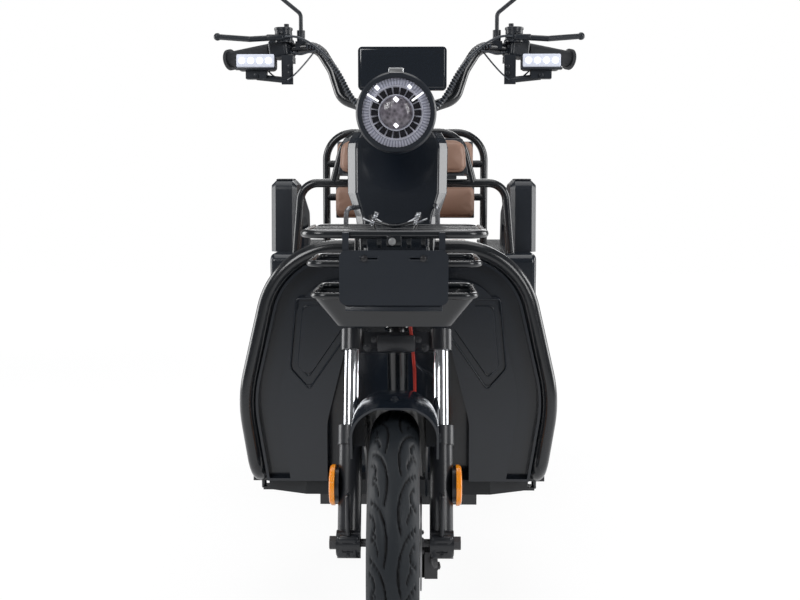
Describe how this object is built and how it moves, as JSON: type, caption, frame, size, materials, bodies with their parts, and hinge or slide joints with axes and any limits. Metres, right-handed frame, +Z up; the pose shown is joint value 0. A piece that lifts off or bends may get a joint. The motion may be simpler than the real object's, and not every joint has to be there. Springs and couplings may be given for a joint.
{
  "type": "electric cargo tricycle",
  "caption": "three-wheeled electric cargo tricycle: raked front fork, leg shield inside a tube hoop, driver's seat, and a rear bench over a steel load box",
  "frame": {"origin": "bottom centre of the bounding box, on the ground", "axes": "+Z up, -Y forwards, +X to the rider's left"},
  "size_m": [0.768, 1.9322, 1.3139],
  "materials": {
    "tyre": "matt black rubber with moulded grooves",
    "rim_paint": "gloss black cast wheel",
    "bright_steel": "ground steel",
    "chrome_tube": "hard chrome",
    "fork_paint": "satin black paint",
    "gloss_cover": "glossy bluish black moulding",
    "satin_cover": "satin black moulding",
    "amber": "amber reflector in a dark cup",
    "cast_metal": "grey cast metal",
    "black_tube": "gloss black powder coat",
    "grip_rubber": "ribbed black rubber",
    "satin_black": "satin black",
    "clear_lens": "clear lens",
    "cable_wrap": "black spiral wrap",
    "display_glass": "dark glossy panel",
    "floor_plastic": "textured dark plastic",
    "battery_case": "plain case",
    "brown_leather": "tan brown seat cover with seams",
    "box_paint": "black painted sheet steel",
    "red_lamp": "red lamp cover"
  },
  "bodies": {
    "chassis": {"main_frame": "black_tube", "guard_hoop": "black_tube", "leg_shield": "gloss_cover", "front_cover": "gloss_cover", "floorboard": "floor_plastic", "carrier_rack": "black_tube", "basket_pan": "black_tube", "plate_carrier": "satin_black", "seat_pedestal": "gloss_cover", "battery_pack": "battery_case", "grab_bar": "black_tube", "driver_backrest": "brown_leather", "rear_back_frame": "black_tube", "rear_back_pads": "brown_leather", "cargo_box": "box_paint", "side_panels": "gloss_cover", "armrests": "satin_cover", "tail_lights": "red_lamp", "rear_axle": "cast_metal"},
    "steering": {"fork_tubes": "chrome_tube", "fork_legs": "fork_paint", "front_axle": "cast_metal", "fork_crown": "fork_paint", "front_mudguard": "gloss_cover", "fork_reflectors": "amber", "brake_caliper": "cast_metal", "handlebar": "black_tube", "grips": "grip_rubber", "brake_levers": "satin_black", "mirrors": "satin_black", "spot_lamps": "satin_black", "headlight_shell": "satin_black", "headlight_lens": "clear_lens", "control_cables": "cable_wrap", "display": "display_glass"},
    "front_wheel": {"front_tyre": "tyre", "front_rim": "rim_paint", "brake_disc": "bright_steel"},
    "rear_wheel_left": {"rear_tyre_left": "tyre", "rear_rim_left": "rim_paint"},
    "rear_wheel_right": {"rear_tyre_right": "tyre", "rear_rim_right": "rim_paint"},
    "driver_seat_lid": {"driver_seat": "brown_leather"},
    "rear_seat_lid": {"rear_seat": "brown_leather"},
    "rear_gate": {"tailgate": "box_paint"}
  },
  "joints": [
    {"name": "steering", "type": "hinge", "parent": "chassis", "child": "steering", "pos_m": [0, -0.69481, 0.21361], "axis": [0, 0.342, 0.9397], "range_deg": [-38, 38]},
    {"name": "front_wheel_spin", "type": "hinge", "parent": "steering", "child": "front_wheel", "pos_m": [0, -0.7371, 0.229], "axis": [1, 0, 0], "continuous": true},
    {"name": "rear_wheel_left_spin", "type": "hinge", "parent": "chassis", "child": "rear_wheel_left", "pos_m": [0.287, 0.6629, 0.229], "axis": [1, 0, 0], "continuous": true},
    {"name": "rear_wheel_right_spin", "type": "hinge", "parent": "chassis", "child": "rear_wheel_right", "pos_m": [-0.287, 0.6629, 0.229], "axis": [1, 0, 0], "continuous": true},
    {"name": "driver_seat_tilt", "type": "hinge", "parent": "chassis", "child": "driver_seat_lid", "pos_m": [0, -0.0921, 0.594], "axis": [1, 0, 0], "range_deg": [0, 70]},
    {"name": "rear_seat_tilt", "type": "hinge", "parent": "chassis", "child": "rear_seat_lid", "pos_m": [0, 0.2959, 0.598], "axis": [1, 0, 0], "range_deg": [0, 48]},
    {"name": "tailgate_drop", "type": "hinge", "parent": "chassis", "child": "rear_gate", "pos_m": [0, 0.9591, 0.36], "axis": [-1, 0, 0], "range_deg": [0, 95]}
  ]
}
